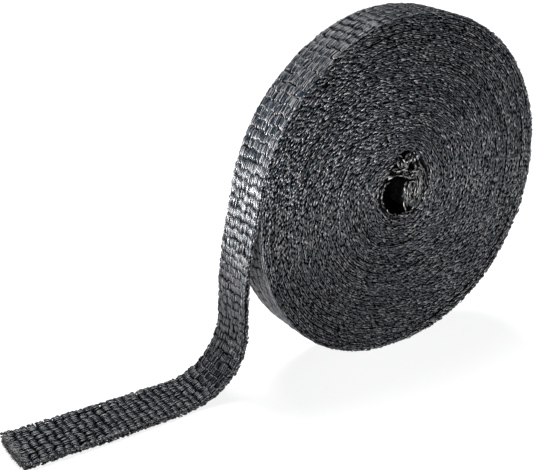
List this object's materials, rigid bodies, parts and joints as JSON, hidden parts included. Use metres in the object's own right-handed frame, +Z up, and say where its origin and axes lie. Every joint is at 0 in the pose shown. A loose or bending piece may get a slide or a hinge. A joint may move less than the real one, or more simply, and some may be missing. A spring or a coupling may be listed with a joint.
{
  "type": "exhaust heat wrap",
  "caption": "Flat roll of woven heat-resistant tape, standing on its rim with its free end laid out along the floor, for wrapping hot exhaust pipes.",
  "frame": {"origin": "on the floor, straight under the roll's axis, at mid width of the tape", "axes": "+Z up; +Y along the roll's axis, away from the viewer; the free end lies towards -X"},
  "size_m": [0.3007, 0.025, 0.179],
  "materials": {
    "woven_fibre": "woven mineral fibre, dark graphite grey with a silky sheen along the fibres"
  },
  "bodies": {
    "root": {"heat_wrap_tape": "woven_fibre"}
  },
  "joints": []
}
